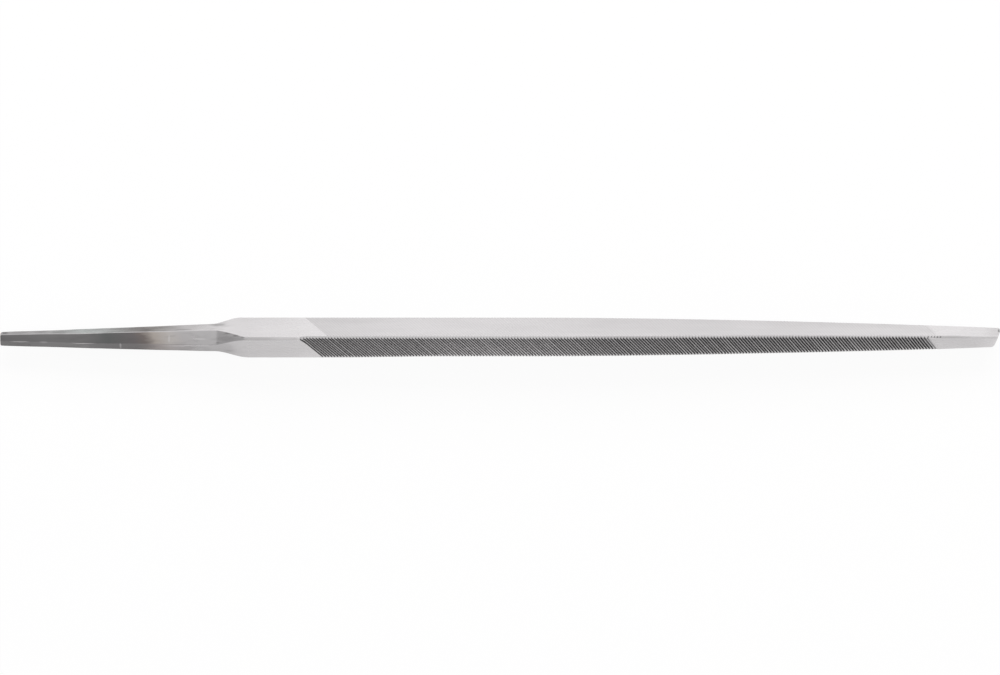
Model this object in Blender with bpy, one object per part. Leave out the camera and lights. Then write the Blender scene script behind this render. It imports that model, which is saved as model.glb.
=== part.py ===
"""Slim triangular saw file with a bare tang, forged, ground and cut from one bar of steel.

The file lies on its lower face with one edge up. +X runs from the tang's end to the tip,
+Z is up, and the origin is the middle of the footprint. A station is a distance along the
bar from the tang's end. Every section is an equilateral triangle about the bar's axis.
"""

from collections import namedtuple
from math import cos, floor, pi, radians, sin, sqrt, tan

import bmesh
import bpy
from mathutils import Vector

MM = 0.001

# Lengths along the bar
TANG_LENGTH = 41.4 * MM
SHOULDER_LENGTH = 7.3 * MM
BODY_LENGTH = 147.5 * MM
PARALLEL_LENGTH = 56.3 * MM

# Body section: side of the sharp triangle, and the radius that rounds its three edges
HEEL_SIDE = 8.57 * MM
TIP_SIDE = 4.4 * MM
HEEL_EDGE_RADIUS = 0.5 * MM
TIP_EDGE_RADIUS = 0.43 * MM

# Tang section: side of the sharp triangle, and the flat forged on each of its edges
TANG_END_SIDE = 3.93 * MM
TANG_ROOT_SIDE = 8.26 * MM
TANG_END_FLAT = 1.18 * MM
TANG_ROOT_FLAT = 2.85 * MM
TANG_END_ROUNDING = 0.35 * MM

# Tip: sheared at a slant in plan, with its rim broken
TIP_SHEAR_ANGLE = radians(22)
TIP_RIM_BREAK = 0.12 * MM

# Single-cut teeth of the three faces, and the plain steel before and after them
TOOTH_PITCH = 0.605 * MM
TOOTH_DEPTH = 0.18 * MM
HEEL_CUT_ANGLE = radians(58.7)
TIP_CUT_ANGLE = radians(65.4)
RIGHT_PLAIN_HEEL = 13.3 * MM
LEFT_PLAIN_HEEL = 12.4 * MM
LOWER_PLAIN_HEEL = 12.8 * MM
RIGHT_PLAIN_TIP = 12.9 * MM
LEFT_PLAIN_TIP = 12.2 * MM
LOWER_PLAIN_TIP = 12.5 * MM

# Short teeth cut square across the three rounded edges
EDGE_TOOTH_PITCH = 0.58 * MM
EDGE_TOOTH_DEPTH = 0.09 * MM
EDGE_CUT_ANGLE = radians(90)
EDGE_PLAIN_HEEL = 10.2 * MM
EDGE_PLAIN_TIP = 11.4 * MM

# Shapes that follow the sizes above
TAPER_POWER = 1.75
TOOTH_FRONT_SHARE = 0.2
RUNOUT_DEPTH_SHARES = (0.65, 0.35)
SHOULDER_STEPS = 10
ROUNDING_STEPS = 3
PLAIN_STEPS = 8
SMOOTH_ANGLE = radians(30)

# An equilateral triangle's apothem for each unit of side, and its half-side for each unit
# of apothem
APOTHEM_SHARE = 1 / sqrt(12)
HALF_SIDE_SHARE = sqrt(3)
# Where a face gives way to its rounded edge, back from the sharp corner, for each unit of
# radius: there the three-point edge is just as wide as the true round
ROUND_SETBACK_SHARE = 2 * (sqrt(3) - 1)

HEEL_STATION = TANG_LENGTH + SHOULDER_LENGTH
TIP_STATION = HEEL_STATION + BODY_LENGTH
AXIS_HEIGHT = HEEL_SIDE * APOTHEM_SHARE

# Directions in which the faces look, counted from +Y towards +Z, each with its plain lengths
Face = namedtuple("Face", "direction plain_heel plain_tip")
FACES = (
    Face(radians(30), RIGHT_PLAIN_HEEL, RIGHT_PLAIN_TIP),
    Face(radians(150), LEFT_PLAIN_HEEL, LEFT_PLAIN_TIP),
    Face(radians(270), LOWER_PLAIN_HEEL, LOWER_PLAIN_TIP),
)
EDGE_TURN = radians(60)

# A line across the bar: its station at mid face, how far it leans forward for each unit
# across, its depth below the skin, how far its section is drawn in, and its shear
Line = namedtuple("Line", "station lean depth inset shear", defaults=(0, 0, 0, 0))
Section = namedtuple("Section", "apothem reach setback")


def mix(first, last, share):
    return first + (last - first) * share


def ease(share):
    """A smooth step from 0 to 1, held at both ends."""
    held = min(max(share, 0), 1)
    return held * held * (3 - 2 * held)


def body_section(station):
    """Apothem, reach from the axis to the edge's crown, and edge radius of the body."""
    taper_start = HEEL_STATION + PARALLEL_LENGTH
    share = max(0, (station - taper_start) / (TIP_STATION - taper_start)) ** TAPER_POWER
    apothem = mix(HEEL_SIDE, TIP_SIDE, share) * APOTHEM_SHARE
    radius = mix(HEEL_EDGE_RADIUS, TIP_EDGE_RADIUS, share)
    return apothem, 2 * apothem - radius, radius


def tang_section(station):
    """Apothem of the tang, and reach from the axis to the flat on its edge."""
    share = min(station / TANG_LENGTH, 1)
    apothem = mix(TANG_END_SIDE, TANG_ROOT_SIDE, share) * APOTHEM_SHARE
    flat = mix(TANG_END_FLAT, TANG_ROOT_FLAT, share)
    return apothem, 2 * apothem - flat * cos(EDGE_TURN / 2)


def bar_section(station, inset):
    """Section at a station: the tang swells into the body along the shoulder."""
    swell = ease((station - TANG_LENGTH) / SHOULDER_LENGTH)
    tang_apothem, tang_reach = tang_section(station)
    body_apothem, body_reach, radius = body_section(station)
    apothem = mix(tang_apothem, body_apothem, swell) - inset
    reach = mix(tang_reach, body_reach, swell) - inset
    flat = (2 * apothem - reach) / cos(EDGE_TURN / 2)
    return Section(apothem, reach, max(flat, radius * ROUND_SETBACK_SHARE))


def half_width(section):
    """Largest distance of a section from the bar's middle plane."""
    return section.apothem * HALF_SIDE_SHARE - section.setback / 2


def place(station, direction, out, along, line, section):
    """Point at a distance out from the axis, shifted along the face, with the line's shear."""
    y = out * cos(direction) - along * sin(direction)
    z = out * sin(direction) + along * cos(direction)
    sheared = station - line.shear * (half_width(section) - y)
    return Vector((sheared - TIP_STATION / 2, y, AXIS_HEIGHT + z))


def face_point(face, line, side):
    """Station and place of one end of a line: side is -1 or 1."""
    middle = bar_section(line.station, line.inset)
    half = middle.apothem * HALF_SIDE_SHARE - middle.setback
    station = line.station + side * half * line.lean
    section = bar_section(station, line.inset)
    along = side * (section.apothem * HALF_SIDE_SHARE - section.setback)
    out = section.apothem - line.depth
    return station, place(station, face.direction, out, along, line, section)


def edge_point(direction, line):
    """Station and place of a line's point on the crown of an edge."""
    section = bar_section(line.station, line.inset)
    out = section.reach - line.depth
    return line.station, place(line.station, direction, out, 0, line, section)


def tang_lines():
    """Lines of the tang's rounded end and of the shoulder, up to the full section."""
    lines = []
    for step in range(ROUNDING_STEPS + 1):
        turn = pi / 2 * step / ROUNDING_STEPS
        station = TANG_END_ROUNDING * (1 - cos(turn))
        lines.append(Line(station, inset=TANG_END_ROUNDING * (1 - sin(turn))))
    for step in range(SHOULDER_STEPS + 1):
        lines.append(Line(TANG_LENGTH + SHOULDER_LENGTH * step / SHOULDER_STEPS))
    return lines


def tip_lines():
    shear = tan(TIP_SHEAR_ANGLE)
    rim = Line(TIP_STATION - TIP_RIM_BREAK, shear=shear)
    return [rim, Line(TIP_STATION, inset=TIP_RIM_BREAK, shear=shear)]


def tooth_lines(plain_heel, plain_tip, pitch, depth, heel_angle, tip_angle):
    """A crest and a gullet for each tooth: the steep front falls towards the tip, the back
    rises gently to the next crest, and the last gullets run out shallow."""
    start = HEEL_STATION + plain_heel
    count = floor((TIP_STATION - plain_tip - start) / pitch)
    depths = [depth] * (count - len(RUNOUT_DEPTH_SHARES))
    depths += [depth * share for share in RUNOUT_DEPTH_SHARES]
    lines = []
    for tooth in range(count + 1):
        lean = 1 / tan(mix(heel_angle, tip_angle, tooth / count))
        lines.append(Line(start + tooth * pitch, lean))
        if tooth < count:
            front = (tooth + TOOTH_FRONT_SHARE) * pitch
            lines.append(Line(start + front, lean, depths[tooth]))
    return lines


def lines_between(first, last):
    """Lines that turn one line evenly into another, with both of those left out."""
    shares = [step / PLAIN_STEPS for step in range(1, PLAIN_STEPS)]
    return [Line(*(mix(a, b, share) for a, b in zip(first, last))) for share in shares]


def bar_lines(cut):
    """All lines along the bar: the tang, the plain heel, the teeth and the plain tip."""
    tang, tip = tang_lines(), tip_lines()
    heel = lines_between(tang[-1], cut[0])
    return tang + heel + cut + lines_between(cut[-1], tip[0]) + tip


def add_row(bm, points):
    """Vertices along the bar, each with its station."""
    return [(station, bm.verts.new(place)) for station, place in points]


def face_rows(bm, face):
    """Both borders of a face, and the strips between its lines."""
    cut = tooth_lines(
        face.plain_heel, face.plain_tip, TOOTH_PITCH, TOOTH_DEPTH, HEEL_CUT_ANGLE, TIP_CUT_ANGLE
    )
    lines = bar_lines(cut)
    near = add_row(bm, [face_point(face, line, -1) for line in lines])
    far = add_row(bm, [face_point(face, line, 1) for line in lines])
    for i in range(len(lines) - 1):
        bm.faces.new((near[i][1], near[i + 1][1], far[i + 1][1], far[i][1]))
    return near, far


def edge_row(bm, direction):
    """The crown of an edge, with its own short teeth."""
    cut = tooth_lines(
        EDGE_PLAIN_HEEL,
        EDGE_PLAIN_TIP,
        EDGE_TOOTH_PITCH,
        EDGE_TOOTH_DEPTH,
        EDGE_CUT_ANGLE,
        EDGE_CUT_ANGLE,
    )
    return add_row(bm, [edge_point(direction, line) for line in bar_lines(cut)])


def zip_rows(bm, left, right):
    """Triangles between two rows whose points differ, always taking the nearer next point."""
    i = j = 0
    while i + 1 < len(left) or j + 1 < len(right):
        right_done = j + 1 == len(right)
        if right_done or (i + 1 < len(left) and left[i + 1][0] <= right[j + 1][0]):
            bm.faces.new((left[i][1], left[i + 1][1], right[j][1]))
            i += 1
        else:
            bm.faces.new((left[i][1], right[j + 1][1], right[j][1]))
            j += 1


def close_end(bm, rows, end, line):
    """A flat fan over the bar's end: end picks the first or the last point of each row."""
    section = bar_section(line.station, line.inset)
    middle = bm.verts.new(place(line.station, 0, 0, 0, line, section))
    rim = [row[end][1] for row in rows]
    for vert, following in zip(rim, rim[1:] + rim[:1]):
        bm.faces.new((middle, vert, following))


def bar_mesh():
    """The whole bar as one closed skin: three toothed faces joined by three toothed edges."""
    bm = bmesh.new()
    borders = [face_rows(bm, face) for face in FACES]
    crowns = [edge_row(bm, face.direction + EDGE_TURN) for face in FACES]
    rim_order = []
    for i, crown in enumerate(crowns):
        near, far = borders[i]
        following_near = borders[(i + 1) % len(borders)][0]
        zip_rows(bm, far, crown)
        zip_rows(bm, crown, following_near)
        rim_order += [near, far, crown]
    close_end(bm, rim_order, 0, tang_lines()[0])
    close_end(bm, rim_order, -1, tip_lines()[-1])
    bmesh.ops.recalc_face_normals(bm, faces=bm.faces)
    mesh = bpy.data.meshes.new("saw_file")
    bm.to_mesh(mesh)
    bm.free()
    return mesh


def steel(name, color, roughness):
    material = bpy.data.materials.new(name)
    material.use_nodes = True
    shader = material.node_tree.nodes["Principled BSDF"]
    shader.inputs["Base Color"].default_value = (*color, 1)
    shader.inputs["Metallic"].default_value = 1
    shader.inputs["Roughness"].default_value = roughness
    return material


def finish_steel(mesh):
    """Bright ground steel, and the dull grey tang as the forge left it."""
    mesh.materials.append(steel("ground_steel", (0.67, 0.67, 0.66), 0.28))
    mesh.materials.append(steel("tang_scale", (0.25, 0.24, 0.23), 0.5))
    for polygon in mesh.polygons:
        if polygon.center.x + TIP_STATION / 2 < TANG_LENGTH:
            polygon.material_index = 1


def clear_scene():
    for item in list(bpy.data.objects):
        bpy.data.objects.remove(item, do_unlink=True)


def build():
    clear_scene()
    mesh = bar_mesh()
    finish_steel(mesh)
    mesh.shade_smooth()
    mesh.set_sharp_from_angle(angle=SMOOTH_ANGLE)
    saw_file = bpy.data.objects.new("saw_file", mesh)
    bpy.context.collection.objects.link(saw_file)


build()
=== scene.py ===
"""Looks of the slim triangular saw file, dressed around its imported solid.

The file lies on its lower face, tang to -X and tip to +X, and is seen from straight above.
Its skin is modelled anew with every tooth, the rounded edges and the forged tang, and stays
within the solid's box. A station is a distance along the bar from the tang's end.
"""

import random
from collections import namedtuple
from math import cos, floor, pi, radians, sin, sqrt, tan

import bpy
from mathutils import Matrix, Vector, noise


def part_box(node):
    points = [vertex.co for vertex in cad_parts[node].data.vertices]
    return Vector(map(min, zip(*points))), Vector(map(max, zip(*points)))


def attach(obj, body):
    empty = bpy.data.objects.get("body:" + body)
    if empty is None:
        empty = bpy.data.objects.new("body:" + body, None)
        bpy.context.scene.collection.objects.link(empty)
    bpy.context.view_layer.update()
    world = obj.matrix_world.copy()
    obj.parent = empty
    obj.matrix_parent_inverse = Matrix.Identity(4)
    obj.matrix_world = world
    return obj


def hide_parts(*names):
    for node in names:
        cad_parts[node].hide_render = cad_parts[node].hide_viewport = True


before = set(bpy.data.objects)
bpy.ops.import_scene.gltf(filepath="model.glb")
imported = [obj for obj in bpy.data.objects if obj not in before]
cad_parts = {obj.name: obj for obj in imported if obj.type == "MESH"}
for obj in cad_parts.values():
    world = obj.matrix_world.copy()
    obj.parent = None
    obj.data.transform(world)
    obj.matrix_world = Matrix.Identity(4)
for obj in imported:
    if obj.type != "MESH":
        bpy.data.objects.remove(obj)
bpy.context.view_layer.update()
MM = 0.001

# Lengths along the bar, as the solid has them
BAR_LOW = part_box("saw_file")[0]
TIP_STATION = -2 * BAR_LOW.x
TANG_LENGTH = 41.4 * MM
SHOULDER_LENGTH = 7.3 * MM
PARALLEL_LENGTH = 56.3 * MM
HEEL_STATION = TANG_LENGTH + SHOULDER_LENGTH

# Sections, as the solid has them: side of the sharp triangle, radius of a rounded edge, and
# the flat forged on each edge of the tang
HEEL_SIDE = 8.57 * MM
TIP_SIDE = 4.4 * MM
HEEL_EDGE_RADIUS = 0.5 * MM
TIP_EDGE_RADIUS = 0.43 * MM
TANG_END_SIDE = 3.93 * MM
TANG_ROOT_SIDE = 8.26 * MM
TANG_END_FLAT = 1.18 * MM
TANG_ROOT_FLAT = 2.85 * MM
TAPER_POWER = 1.75

# Finer sizes that only the looks have. The tang's hammered waves are shorter across it by a
# factor, and ripples on them are shorter and shallower by another. An edge gets its full
# radius late in its rise from the tang, by a power
SKIN_CLEARANCE = 0.003 * MM
TANG_CORNER_RADIUS = 0.22 * MM
TANG_END_ROUNDING = 0.3 * MM
TANG_END_CORNER = 0.42 * MM
TANG_END_CORNER_FADE = 1.5 * MM
TANG_UNEVENNESS = 0.05 * MM
TANG_WAVE_LENGTH = 7 * MM
TANG_WAVE_CROSSING = 3
TANG_RIPPLE_FACTOR = 3
TANG_BEND = 0.25 * MM
TANG_BEND_POWER = 1.8
RISE_ROUND_POWER = 4
TIP_END_ANGLE = radians(21.8)
TIP_BLUNT_WIDTH = 0.88 * MM
TIP_RIM_BREAK = 0.06 * MM
TIP_LOWER_RADIUS = 0.8 * MM
TIP_UPPER_RADIUS = 0.4 * MM

# How far the ridge, and the tang's flat in its place, lies towards +Y of the axis, by station:
# the tang is forged askew, the heel is ground askew, and the toothed length is straighter
RidgePlace = namedtuple("RidgePlace", "station aside")
RIDGE_PLACES = (
    RidgePlace(0 * MM, 0.2 * MM),
    RidgePlace(8 * MM, 0.2 * MM),
    RidgePlace(16 * MM, 0.05 * MM),
    RidgePlace(24 * MM, 0.1 * MM),
    RidgePlace(36 * MM, 0 * MM),
    RidgePlace(45.5 * MM, 0 * MM),
    RidgePlace(48.4 * MM, -0.235 * MM),
    RidgePlace(57.8 * MM, -0.235 * MM),
    RidgePlace(60.4 * MM, 0.06 * MM),
    RidgePlace(98 * MM, 0.02 * MM),
    RidgePlace(124 * MM, 0.02 * MM),
    RidgePlace(142 * MM, 0.18 * MM),
    RidgePlace(178 * MM, 0.15 * MM),
    RidgePlace(187 * MM, 0.13 * MM),
    RidgePlace(192 * MM, 0.04 * MM),
)

# Painted sheen of the steel by station, a factor on its own tone that stands in for how much light
# it reflects:
# the face at +Y, the ridge's crown, painted lighter as a highlight, and the face at -Y beside the
# ridge, painted darker, and beside its lower edge, painted lighter, where among the teeth less
# residue is left as well
PaintedSheen = namedtuple("PaintedSheen", "station upper crown ridge_side edge_side")
PAINTED_SHEENS = (
    PaintedSheen(52 * MM, 0.99, 1.02, 0.93, 1.09),
    PaintedSheen(55 * MM, 0.98, 1.15, 0.91, 1.08),
    PaintedSheen(58 * MM, 0.98, 1.15, 0.9, 1.08),
    PaintedSheen(61 * MM, 1.0, 1.7, 0.82, 1.14),
    PaintedSheen(76 * MM, 1.0, 1.6, 0.84, 1.17),
    PaintedSheen(97 * MM, 0.99, 1.6, 0.99, 1.5),
    PaintedSheen(126 * MM, 0.95, 1.22, 0.79, 1.13),
    PaintedSheen(140 * MM, 0.95, 1.5, 0.77, 1.12),
    PaintedSheen(152 * MM, 0.95, 1.25, 0.74, 1.11),
    PaintedSheen(160 * MM, 0.96, 1.2, 0.79, 1.15),
    PaintedSheen(172 * MM, 0.98, 1.45, 0.88, 1.22),
    PaintedSheen(181 * MM, 1.0, 1.45, 0.83, 1.14),
    PaintedSheen(186 * MM, 1.02, 0.96, 0.8, 1.06),
    PaintedSheen(192 * MM, 0.98, 1.12, 0.84, 1.01),
    PaintedSheen(196 * MM, 0.86, 1.12, 0.86, 1.01),
)

# Lengths without teeth on the edges, and the length before the tip's where an edge is dark
# in its gullets with residue and painted shade. The -Y face's teeth notch the ridge with a share
# of their depth, and their residue and painted shade are lighter on its +Y side, towards the light
EDGE_PLAIN_HEEL = 10.2 * MM
EDGE_PLAIN_TIP = 11.1 * MM
EDGE_DARK_END = 3.1 * MM
RIDGE_NOTCH_DEPTH_SHARE = 0.35
RIDGE_NOTCH_FADE = 0.3

# How uneven the teeth are, and the seeds of the ridge's own teeth and of the other edges'
PITCH_JITTER_SHARE = 0.03
DEPTH_JITTER_SHARE = 0.1
CREST_WAVE = 0.006 * MM
CREST_WAVE_LENGTH = 0.9 * MM
RIDGE_SEED = 3
EDGE_SEED = 10

# One tooth along the bar, in shares of its pitch and depth, and how dark with residue and painted
# shade each
# line is at the heel and at the tip: crest, lip, foot of the front, gullet, its far side and
# back on a face, and crest, lip, gullet and back on an edge
ToothPoint = namedtuple("ToothPoint", "pitch_share depth_share heel_gullet tip_gullet")
TOOTH_PROFILE_SHARES = (
    ToothPoint(0.0, 0.0, 0.0, 0.0),
    ToothPoint(0.03, 0.22, 0.85, 1.0),
    ToothPoint(0.15, 0.9, 1.0, 1.0),
    ToothPoint(0.2, 1.0, 1.0, 1.0),
    ToothPoint(0.28, 0.93, 0.1, 0.8),
    ToothPoint(0.62, 0.48, 0.0, 0.1),
)
EDGE_PROFILE_SHARES = (
    ToothPoint(0.0, 0.0, 0.0, 0.0),
    ToothPoint(0.04, 0.3, 0.7, 0.7),
    ToothPoint(0.2, 1.0, 1.0, 1.0),
    ToothPoint(0.5, 0.6, 0.1, 0.1),
)

# The teeth of the three faces and of the three edges: depths and angles at the heel and at
# the tip, and the shares of its depth that each of the last teeth has
Teeth = namedtuple("Teeth", "pitch depths angles profile last_shares")
FACE_TEETH = Teeth(
    0.605 * MM, (0.17 * MM, 0.23 * MM), (radians(58.7), radians(65.4)), TOOTH_PROFILE_SHARES,
    (0.9, 0.6),
)
EDGE_TEETH = Teeth(
    0.58 * MM, (0.05 * MM, 0.09 * MM), (radians(90), radians(90)), EDGE_PROFILE_SHARES,
    (1.0, 0.9),
)

# An equilateral triangle's apothem for each unit of side, and its half-side for each unit
# of apothem
APOTHEM_SHARE = 1 / sqrt(12)
HALF_SIDE_SHARE = sqrt(3)
AXIS_HEIGHT = HEEL_SIDE * APOTHEM_SHARE

# Places across a face, as shares of its half-width, the turn from a face to the crown of an
# edge, and from the crown to its rows, outer and inner, on the body and on the tang
COLUMN_SHARES = (-1, -0.95, -0.7, -0.35, 0, 0.35, 0.7, 0.95, 1)
EDGE_TURN = radians(60)
BODY_TURNS = (radians(40), radians(20))
TANG_TURNS = (radians(30), radians(0))

# Steps along the plain lengths, the least angle of a sharp corner, and the three materials
TANG_STEPS = 60
SHOULDER_STEPS = 24
PLAIN_STEPS = 12
ROUNDING_STEPS = 5
SMOOTH_ANGLE = radians(38)
GROUND, CUT, TANG = range(3)

# How flat the mesh says it is at a face's border and on an edge's outer row, beside a flat
BORDER_FLATNESS = 0.3
ROUND_FLATNESS = 0.5

# Places around the bar on the map, where each face and its edge take up 1: half a face, the
# outer row, the crown and its inner rows. Then the bands that the bar's length is cut into,
# their margins along and across, and how far an end's middle lies beyond its rim
MAP_FACE = 0.4
MAP_ROUND = 0.44
MAP_CROWN = 0.5
MAP_CROWN_ROW = 0.03
MAP_BANDS = 3
MAP_MARGINS = (0.02, 0.03)
MAP_CAP_LENGTH = 1.2 * MM

# The faces at +Y, at -Y and below: direction, plain lengths without teeth, how much of the
# growth of residue and painted shade towards the tip it has, and how much of them is left at its
# teeth's ends.
# The face at +Y, towards the light, has no growth and little of them
Face = namedtuple("Face", "direction plain_heel plain_tip growth end_residue")
FACES = (
    Face(radians(30), 13.3 * MM, 12.9 * MM, 0, 0.15),
    Face(radians(150), 12.4 * MM, 12.5 * MM, 1, 1.0),
    Face(radians(270), 12.8 * MM, 12.5 * MM, 1, 1.0),
)
PLUS_Y_FACE, MINUS_Y_FACE = 0, 1

# The edge after each face: the ridge, the one at -Y, and the one at +Y. Each rises from the
# tang's flat to its full height between two stations, evenly or softly. Grinding takes a
# little off its crown along the plain heel, and cutting the teeth along the rest. Then the
# share of its radius that is left at the heel and among the teeth, the share of its crown
# that the next face's teeth take up, and how dark its own teeth are with residue and painted
# shade, least on the edge at +Y, towards the light
Edge = namedtuple(
    "Edge", "rise_start rise_end softness heel_loss cut_loss heel_round cut_round notch residue"
)
EDGES = (
    Edge(42.6 * MM, 47.9 * MM, 0.25, 0.12 * MM, 0.02 * MM, 0.6, 0.3, 0.85, 0.65),
    Edge(42.0 * MM, 48.9 * MM, 1.0, 0 * MM, 0.325 * MM, 1.0, 1.0, 0.0, 0.5),
    Edge(41.4 * MM, 47.1 * MM, 1.0, 0 * MM, 0 * MM, 1.0, 1.0, 0.0, 0.1),
)
RIDGE, MINUS_Y_EDGE, PLUS_Y_EDGE = range(3)

# Where the edges' shape at the heel ends and where that among the teeth starts and ends, and
# where the loss from cutting starts, with the lengths over which each grows or falls
HEEL_GROUND_END = 57 * MM
CUT_START = 58 * MM
CUT_END = 184 * MM
CUT_CHANGE_LENGTH = 2.2 * MM
CUT_LOSS_START = 66 * MM
CUT_LOSS_LENGTH = 22 * MM
CUT_LOSS_END_LENGTH = 48 * MM

# A line across the bar: station at mid face, lean forward for each unit across, depth below
# the skin, inset of its section, share of the tip's shear, how dark its gullet is with residue and
# painted shade, and zone after it
Line = namedtuple("Line", "station lean depth inset shear gullet zone", defaults=(0,) * 7)

# The top of an edge: distance from the axis, radius of its roundings, half-width of its flat
Crown = namedtuple("Crown", "reach radius flat")

# A point of the mesh, by its number there and its place on the map
Spot = namedtuple("Spot", "index station around")

# A face or an edge: its lines along the bar, and the spots of each line
Strip = namedtuple("Strip", "lines grid")


def mix(first, last, share):
    """A value between two others, which may lie beyond them."""
    return first + (last - first) * share


def ease(share):
    """A smooth step from 0 to 1, held at both ends."""
    held = min(max(share, 0), 1)
    return held * held * (3 - 2 * held)


def taper_share(station):
    """0 along the parallel part of the body, and up to 1 at the tip."""
    start = HEEL_STATION + PARALLEL_LENGTH
    return max(0, (station - start) / (TIP_STATION - start)) ** TAPER_POWER


def apothems(station):
    """Distances from the axis to a face, as the tang has it and as the body has it."""
    tang_side = mix(TANG_END_SIDE, TANG_ROOT_SIDE, min(max(station / TANG_LENGTH, 0), 1))
    body_side = mix(HEEL_SIDE, TIP_SIDE, taper_share(station))
    return tang_side * APOTHEM_SHARE, body_side * APOTHEM_SHARE


def face_out(station, inset=0):
    """Distance from the axis to a face."""
    tang, body = apothems(station)
    return mix(tang, body, ease((station - TANG_LENGTH) / SHOULDER_LENGTH)) - inset


def in_heel(station):
    """1 along the plain heel, falling to 0 before the teeth."""
    return 1 - ease((station - HEEL_GROUND_END) / CUT_CHANGE_LENGTH)


def in_teeth(station):
    """1 along the teeth, falling to 0 at both their ends."""
    begun = ease((station - CUT_START) / CUT_CHANGE_LENGTH)
    return min(begun, ease((CUT_END - station) / CUT_CHANGE_LENGTH))


def crown(number, station, inset=0):
    """How far an edge reaches, the radius of its roundings, and its flat's half-width."""
    edge = EDGES[number]
    along_rise = min(max((station - edge.rise_start) / (edge.rise_end - edge.rise_start), 0), 1)
    rise = mix(along_rise, ease(along_rise), edge.softness)
    tang, body = apothems(station)
    full_radius = mix(HEEL_EDGE_RADIUS, TIP_EDGE_RADIUS, taper_share(station))
    tang_flat = mix(TANG_END_FLAT, TANG_ROOT_FLAT, min(max(station / TANG_LENGTH, 0), 1))
    lost_in = ease((station - CUT_LOSS_START) / CUT_LOSS_LENGTH)
    lost_out = (TIP_STATION - station) / CUT_LOSS_END_LENGTH
    loss = edge.heel_loss * in_heel(station) + edge.cut_loss * min(lost_in, lost_out)
    body_reach = 2 * body - full_radius - loss
    heel_part, cut_part = in_heel(station), in_teeth(station)
    round_share = 1 - (1 - edge.heel_round) * heel_part - (1 - edge.cut_round) * cut_part
    reach = mix(2 * tang - tang_flat * cos(EDGE_TURN / 2), body_reach, rise) - inset
    above_face = 2 * face_out(station, inset) - reach
    radius = mix(TANG_CORNER_RADIUS, full_radius * round_share, rise ** RISE_ROUND_POWER)
    radius = min(radius, above_face)
    return Crown(reach, radius, (above_face - radius) * tan(EDGE_TURN / 2))


def face_half(number, station, inset):
    """Half the width of a face's flat part, up to where the round of an edge begins."""
    out, top = face_out(station, inset), crown(number, station, inset)
    setback = (2 * out - top.reach) / cos(EDGE_TURN / 2) + top.radius * tan(EDGE_TURN / 2)
    return out * HALF_SIDE_SHARE - setback


def flat_share(top):
    """1 where an edge has a clear flat, as on the tang, and 0 where it is round."""
    return min(top.flat / TANG_CORNER_RADIUS, 1)


def round_point(top, step):
    """Out and along of a row on a rounded edge: step 0 is the outer row, and 1 the inner."""
    turn = mix(BODY_TURNS[step], TANG_TURNS[step], flat_share(top))
    return top.reach - top.radius * (1 - cos(turn)), top.flat + top.radius * sin(turn)


def tip_pull(y):
    """How far the tip's end lies back at y: square beside the edge at +Y, and then slanted."""
    half = TIP_SIDE / 2 - (HALF_SIDE_SHARE - 1) * TIP_EDGE_RADIUS
    slope = tan(TIP_END_ANGLE)

    def round_off(radius, side):
        """The end between the slant and the outline, on a circle that touches both."""
        middle = side * (half - radius)
        touch = middle - radius * sin(TIP_END_ANGLE)
        if side * (y - touch) <= 0:
            return slope * (half - y)
        away = min(abs(y - middle), radius)
        return slope * (half - touch) + radius * cos(TIP_END_ANGLE) - sqrt(radius ** 2 - away ** 2)

    slanted = max(round_off(TIP_LOWER_RADIUS, -1), round_off(TIP_UPPER_RADIUS, 1))
    return max(slanted - slope * TIP_BLUNT_WIDTH, 0)


def tang_push(y, station):
    """How far the tang lies back at y, where the corner of its end at +Y is rounded off."""
    side = crown(PLUS_Y_EDGE, 0)
    widest = (side.reach - side.radius) * cos(EDGE_TURN / 2) + side.radius
    widest += side.flat * sin(EDGE_TURN / 2)
    into_corner = min(max(y - widest + TANG_END_CORNER, 0), TANG_END_CORNER)
    back = TANG_END_CORNER - sqrt(TANG_END_CORNER ** 2 - into_corner ** 2)
    return back * max(1 - station / TANG_END_CORNER_FADE, 0)


def unevenness(station, direction, along):
    """Hammered waves of the tang, which fade out along the shoulder."""
    across = along * TANG_WAVE_CROSSING
    where = Vector((station, direction * TANG_WAVE_LENGTH, across)) / TANG_WAVE_LENGTH
    fade = 1 - ease((station - TANG_LENGTH) / SHOULDER_LENGTH)
    ripple = noise.noise(where * TANG_RIPPLE_FACTOR) / TANG_RIPPLE_FACTOR
    return TANG_UNEVENNESS * fade * (noise.noise(where) + ripple)


def at_station(stops, station, name):
    """One number of a row of stops along the bar, eased between the stops on both sides."""
    for last, following in zip(stops, stops[1:]):
        if station <= following.station:
            share = (station - last.station) / (following.station - last.station)
            return mix(getattr(last, name), getattr(following, name), ease(share))
    return getattr(stops[-1], name)


def settle(x, y, z, station):
    """Small departures of the real bar: the tang bends a little, and the ridge lies aside."""
    bend = TANG_BEND * (1 - min(station / TANG_LENGTH, 1) ** TANG_BEND_POWER)
    ridge, side = crown(RIDGE, station), crown(MINUS_Y_EDGE, station)
    widest = AXIS_HEIGHT - (side.reach - side.radius) / 2 + side.flat * cos(EDGE_TURN / 2)
    height_share = (z - widest) / (AXIS_HEIGHT + ridge.reach - widest)
    return Vector((x, y - bend + at_station(RIDGE_PLACES, station, "aside") * height_share, z))


def face_painted_sheen(number, share, station):
    """The painted sheen at a share of the way across a face, from -1 to 1: lighter or darker as
    the face would reflect light.
    """
    if number == PLUS_Y_FACE:
        return at_station(PAINTED_SHEENS, station, "upper")
    edge_side = at_station(PAINTED_SHEENS, station, "edge_side")
    if number == MINUS_Y_FACE:
        return mix(at_station(PAINTED_SHEENS, station, "ridge_side"), edge_side, (share + 1) / 2)
    return mix(edge_side, 1, (share + 1) / 2)


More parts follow.
